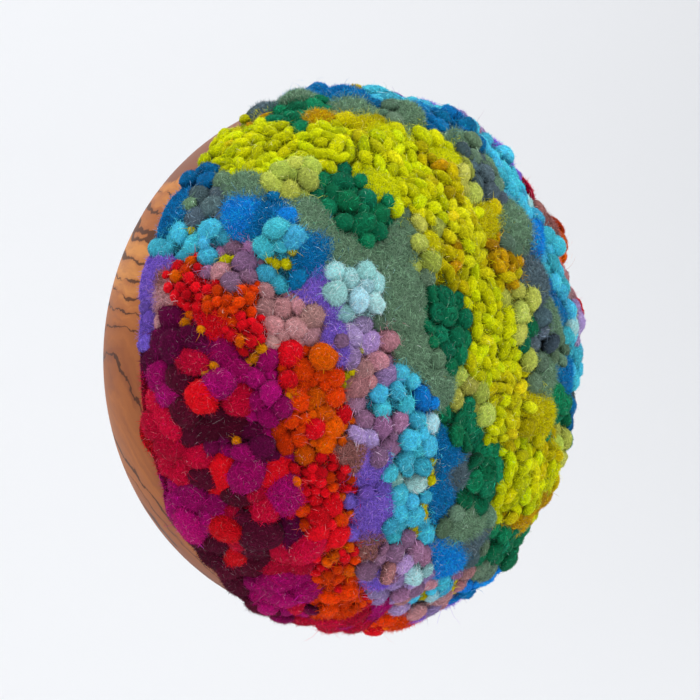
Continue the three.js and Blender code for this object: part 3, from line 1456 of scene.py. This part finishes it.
            # the stamp's painted shade darkens each tuft towards its foot
            all_colours.append(stamp.painted_shading[:, None] * tufts.colour[number])
            owners.append(np.full(len(stamp.corners), number))
            total += len(stamp.points)
        points, corners = self.clear_of_bowl(np.concatenate(all_points)), np.concatenate(all_corners)
        self.mesh_corners.append(corners + sum(len(earlier) for earlier in self.mesh_points))
        self.mesh_points.append(points)
        self.owners.append(np.concatenate(owners))
        piece = triangle_mesh(name, points, corners)
        paint_wool(piece, np.concatenate(all_colours))
        map_faces_apart(piece)
        seat(piece, self.wool)
        log.info("%s: %d tufts, %d triangles", name, len(members), len(corners))

    def clear_of_bowl(self, points: np.ndarray) -> np.ndarray:
        """Pushes points off the bowl, out past its side or up from its lip, whichever is nearer.

        Args:
            points: the points, which are changed.

        Returns:
            The same points.
        """
        depth = np.clip(-points[:, 1], 0, self.bowl.depth)
        radius = np.hypot(points[:, 0], points[:, 2])
        drop = np.minimum(self.bowl.depth - depth, self.bowl.side_arc)
        wood = self.bowl.rim_radius - self.bowl.side_arc + np.sqrt(self.bowl.side_arc ** 2 - drop ** 2)
        out = wood + self.clearance - radius
        up = self.bowl.depth + self.clearance + points[:, 1]
        inside = (out > 0) & (up > 0)
        sideways = inside & (out < up)
        upwards = inside & ~sideways
        points[sideways, 0] *= 1 + out[sideways] / radius[sideways]
        points[sideways, 2] *= 1 + out[sideways] / radius[sideways]
        points[upwards, 1] -= up[upwards]
        return points

    def roots(self, count: int, spread: float, tufts: Tufts, on_tufts: float = 1.0) -> dict[str, np.ndarray]:
        """Finds places for fibres all over the wool, by rays from outside.

        Args:
            count: number of rays.
            spread: how far the rays lean from the crown's outward direction.
            tufts: the tufts.
            on_tufts: share of the fibres that is kept on tufts rather than between them.

        Returns:
            Arrays by name: place, normal, heading, colour, lift, reach, warm.
        """
        random = self.random
        along, turn = self.crown.scattered(random, count)
        points, outward = self.crown.place(along, turn)
        lean = unit(outward + random.normal(0, spread, (count, 3)))
        hit, place, normal, face = self.cast(points + lean * 5 * MM, -lean, 9 * MM)
        owner = self.owner[face]
        group, _ = self.crown.nearest_group(points + random.normal(0, self.ragged, points.shape))
        kinds = [self.kinds[Pile.SHEARED if number < 0 else tufts.pile[number]] for number in owner]
        height = ((place - points) * outward).sum(1)
        depth = self.crown.rise(points) - self.crown.crease - height
        away = unit(place - tufts.roots[owner])
        heading = random.normal(0, self.heading_spread, (count, 3))
        heading += np.array([kind.outward for kind in kinds])[:, None] * away
        sign = random.choice([-1.0, 1.0], count)
        heading += (np.array([kind.along for kind in kinds]) * sign)[:, None] * tufts.forward[owner]
        heading = unit(heading - normal * (heading * normal).sum(1, keepdims=True))
        own = np.where((owner < 0)[:, None], self.pattern.colour[group], tufts.colour[owner])
        own = own * np.array([kind.tone for kind in kinds])[:, None]
        # painted shade: fibres that root deep in the creases between groups are darkened
        own = own * (1 - self.shade * smooth_step(self.shade_from, self.shade_to, depth))[:, None]
        keep = hit & ((owner < 0) | (random.random(count) < on_tufts))
        found = {
            "place": place,
            "normal": normal,
            "heading": heading,
            "colour": own,
            "lift": np.array([kind.lift for kind in kinds]),
            "reach": np.array([kind.reach for kind in kinds]),
            "warm": self.pattern.band[group] >= FIRST_WARM_BAND,
        }
        return {key: values[keep] for key, values in found.items()}

    def set_fibres(self, tufts: Tufts) -> None:
        """Covers the wool in short fibres, then in curls, then in a few long stray hairs.

        Args:
            tufts: the tufts.
        """
        fuzz = self.roots(self.fuzz_rays, self.fuzz_spread, tufts, self.fuzz_on_tufts)
        strands = self.roots(self.strand_rays, self.loose_spread, tufts)
        strays = self.roots(self.stray_rays, self.loose_spread, tufts)
        for name, warm in (("cool", False), ("warm", True)):
            self.join_fibres(name + "_fuzz", self.chosen(fuzz, warm), self.fuzz)
            self.join_fibres(name + "_strands", self.chosen(strands, warm), self.strand)
        self.join_fibres("stray_hairs", strays, self.stray)

    def chosen(self, found: dict[str, np.ndarray], warm: bool) -> dict[str, np.ndarray]:
        """Picks the fibres of one half of the wools.

        Args:
            found: all of them, as from roots.
            warm: True for the warm wools and False for the cool ones.

        Returns:
            The same arrays with fewer rows.
        """
        keep = found["warm"] == warm
        return {key: values[keep] for key, values in found.items()}

    def join_fibres(self, name: str, found: dict[str, np.ndarray], kind: FibreKind) -> None:
        """Makes one piece of flat fibres that taper to a point.

        Args:
            name: the piece's name.
            found: their places, as from roots.
            kind: their sizes.
        """
        points, corners = self.fibre_shapes(found, kind)
        colours = self.fibre_colours(found, kind)
        piece = triangle_mesh(name, self.clear_of_bowl(points), corners)
        paint_wool(piece, colours)
        map_faces_apart(piece)
        seat(piece, self.fibre)
        log.info("%s: %d fibres, %d triangles", name, len(found["place"]), len(corners))

    def fibre_shapes(self, found: dict[str, np.ndarray], kind: FibreKind) -> tuple[np.ndarray, np.ndarray]:
        """Grows each fibre from its root, step by step.

        Args:
            found: their places, as from roots.
            kind: their sizes.

        Returns:
            The points, and the three points of each triangle.
        """
        random = self.random
        count, steps = len(found["place"]), kind.steps
        reach = kind.least + (kind.most - kind.least) * random.random(count) ** 2
        if kind.laid == 0:
            reach *= found["reach"]
        least_lift, lift_spread = kind.lift_range
        lift = (found["lift"] * (least_lift + lift_spread * random.random(count)))[:, None]
        normal = found["normal"]
        heading = unit(found["heading"] + normal * (lift if kind.laid == 0 else kind.laid_lift))
        curl = random.normal(0, 1, (count, 3))
        side = unit(np.cross(heading, normal + random.normal(0, kind.twist, (count, 3))))
        width = kind.half_width * random.uniform(*kind.width_odds, (count, 1))
        height = kind.laid * random.uniform(*kind.height_odds, count)
        place = found["place"] - normal * kind.buried
        rows = [place - side * width, place + side * width]
        step = (reach / steps)[:, None]
        for number in range(1, steps + 1):
            ahead = place + heading * step
            if kind.laid > 0:
                ahead = self.laid_down(ahead, height)
                heading = unit(ahead - place)
            place = ahead
            if number < steps:
                rest = 1 - kind.taper * number / steps
                rows += [place - side * width * rest, place + side * width * rest]
            heading = unit(heading + curl * (kind.curl / math.sqrt(steps)) - normal * kind.droop * lift)
            curl = unit(curl + random.normal(0, kind.curl_change, (count, 3)))
        rows.append(place)
        points = np.stack(rows, 1)
        pattern = []
        for first in range(0, 2 * steps - 2, 2):
            pattern += [[first, first + 1, first + 3], [first, first + 3, first + 2]]
        pattern.append([2 * steps - 2, 2 * steps - 1, 2 * steps])
        each = points.shape[1]
        corners = np.array(pattern)[None] + each * np.arange(count)[:, None, None]
        return points.reshape(-1, 3), corners.reshape(-1, 3)

    def fibre_colours(self, found: dict[str, np.ndarray], kind: FibreKind) -> np.ndarray:
        """Colours each fibre after its yarn, with painted shade at the root and a painted highlight at the
        tip, and a few of them paler.

        Args:
            found: their places, as from roots.
            kind: their sizes.

        Returns:
            One row of red, green and blue for each point.
        """
        random = self.random
        count = len(found["place"])
        some = random.random(count) < kind.pale
        pale = np.where(some, random.uniform(*kind.pale_odds, count), 0.0)[:, None]
        own = found["colour"] * (1 - pale) + kind.pale_tone * pale
        tone = np.exp(random.normal(0, kind.tones, count))[:, None]
        # painted shade darkens the root and a painted highlight brightens the tip
        along = np.repeat(np.linspace(kind.root_shade, 1.0, kind.steps), 2)
        painted_shading = np.append(along, kind.tip_highlight)
        return np.minimum((own * tone)[:, None] * painted_shading[None, :, None], BRIGHTEST).reshape(-1, 3)

    def laid_down(self, points: np.ndarray, height: np.ndarray) -> np.ndarray:
        """Brings points to their own heights over the nearest wool.

        Args:
            points: the points.
            height: how far each goes over the wool.

        Returns:
            The moved points.
        """
        moved = points.copy()
        for number, point in enumerate(points.tolist()):
            place, outward, _, _ = self.surface.find_nearest(point)
            moved[number] = place + outward * float(height[number])
        return moved


@dataclass
class Studio:
    """Camera, light and a pale curved sheet that is floor and background."""

    turn: float = math.radians(-43.5)
    height: float = math.radians(2.38)
    roll: float = math.radians(-1.54)
    distance: float = 545.4 * MM
    aim: tuple[float, float, float] = (0.47 * MM, -28 * MM, 1.48 * MM)
    focal_pixels: float = 3149
    picture_pixels: float = 700
    floor_level: float = -0.32
    sheet_back: float = 1.25
    sheet_front: float = -1.6
    sheet_half_width: float = 1.9
    sheet_height: float = 1.6
    cove: float = 0.4
    cove_steps: int = 12
    world_colour: str = "f2f3f5"
    world_strength: float = 0.77
    key_place: tuple[float, float, float] = (0.5, -0.65, 0.75)
    key_size: float = 0.55
    key_power: float = 4.6
    bounce_place: tuple[float, float, float] = (-0.3, 0.12, 0.7)
    bounce_size: float = 0.5
    bounce_power: float = 2.2
    sheet_light_place: tuple[float, float, float] = (0.9, 0.3, 0.95)
    sheet_aim: tuple[float, float, float] = (1.15, 1.25, 0.05)
    sheet_light_size: float = 0.9
    sheet_power: float = 4.5

    def build(self) -> None:
        """Makes all of it."""
        self.place_camera()
        self.make_sheet()
        self.light()
        bpy.context.scene.view_settings.view_transform = "Standard"

    def place_camera(self) -> None:
        """Puts the camera at the photograph's angle."""
        back = Vector((
            math.sin(self.turn) * math.cos(self.height),
            -math.cos(self.turn) * math.cos(self.height),
            math.sin(self.height),
        ))
        right = (-back).cross(Vector((0, 0, 1))).normalized()
        up = right.cross(-back)
        rolled_right = right * math.cos(self.roll) + up * math.sin(self.roll)
        rolled_up = up * math.cos(self.roll) - right * math.sin(self.roll)
        data = bpy.data.cameras.new("camera")
        data.lens = data.sensor_width * self.focal_pixels / self.picture_pixels
        data.clip_start, data.clip_end = 0.01, 20
        camera = bpy.data.objects.new("camera", data)
        bpy.context.scene.collection.objects.link(camera)
        turn = Matrix((rolled_right, rolled_up, back)).transposed()
        camera.matrix_world = Matrix.Translation(Vector(self.aim) + back * self.distance) @ turn.to_4x4()
        bpy.context.scene.camera = camera

    def make_sheet(self) -> None:
        """Makes the curved sheet behind and below the piece."""
        deselect_everything()
        bpy.ops.mesh.primitive_plane_add(size=2, location=(0, 0, 0))
        sheet = bpy.context.object
        sheet.name = sheet.data.name = "studio_sheet"
        flat = self.sheet_back - self.cove
        middle = (self.sheet_front + flat) / 2
        bpy.ops.object.mode_set(mode="EDIT")
        bpy.ops.transform.resize(value=(self.sheet_half_width, (flat - self.sheet_front) / 2, 1))
        bpy.ops.transform.translate(value=(0, middle, self.floor_level))
        bpy.ops.mesh.select_all(action="DESELECT")
        bpy.ops.object.mode_set(mode="OBJECT")
        for edge in sheet.data.edges:
            edge.select = all(sheet.data.vertices[number].co.y > flat - MM for number in edge.vertices)
        bpy.ops.object.mode_set(mode="EDIT")
        for step in range(self.cove_steps):
            start, end = (math.pi / 2 * number / self.cove_steps for number in (step, step + 1))
            back = self.cove * (math.sin(end) - math.sin(start))
            up = self.cove * (math.cos(start) - math.cos(end))
            bpy.ops.mesh.extrude_region_move(TRANSFORM_OT_translate={"value": (0, back, up)})
        bpy.ops.mesh.extrude_region_move(TRANSFORM_OT_translate={"value": (0, 0, self.sheet_height)})
        bpy.ops.object.mode_set(mode="OBJECT")
        bpy.ops.object.shade_smooth()
        sheet.data.materials.append(StageFinish().material())

    def area_light(
        self, name: str, place: tuple[float, float, float], aim: tuple[float, float, float],
        size: float, power: float,
    ) -> None:
        """Adds a soft square light.

        Args:
            name: the light's name.
            place: where it stands.
            aim: where it points.
            size: its side.
            power: its power in watts.
        """
        data = bpy.data.lights.new(name, "AREA")
        data.size, data.energy = size, power
        light = bpy.data.objects.new(name, data)
        light.location = place
        light.rotation_euler = (Vector(aim) - Vector(place)).to_track_quat("-Z", "Y").to_euler()
        bpy.context.scene.collection.objects.link(light)

    def light(self) -> None:
        """Sets a pale room and three soft lights."""
        world = bpy.data.worlds.new("pale_room")
        world.use_nodes = True
        background = world.node_tree.nodes["Background"]
        background.inputs["Color"].default_value = (*linear(self.world_colour), 1)
        background.inputs["Strength"].default_value = self.world_strength
        bpy.context.scene.world = world
        self.area_light("key", self.key_place, self.aim, self.key_size, self.key_power)
        self.area_light("bounce", self.bounce_place, self.aim, self.bounce_size, self.bounce_power)
        self.area_light(
            "sheet_light", self.sheet_light_place, self.sheet_aim, self.sheet_light_size, self.sheet_power
        )


def main() -> None:
    """Builds the studio, the bowl and the mound, in that order."""
    logging.basicConfig(level=logging.INFO, format="%(name)s: %(message)s")
    Studio().build()
    bowl = Bowl()
    bowl.build()
    TuftedMound(bowl).build()


if __name__ == "__main__":
    main()
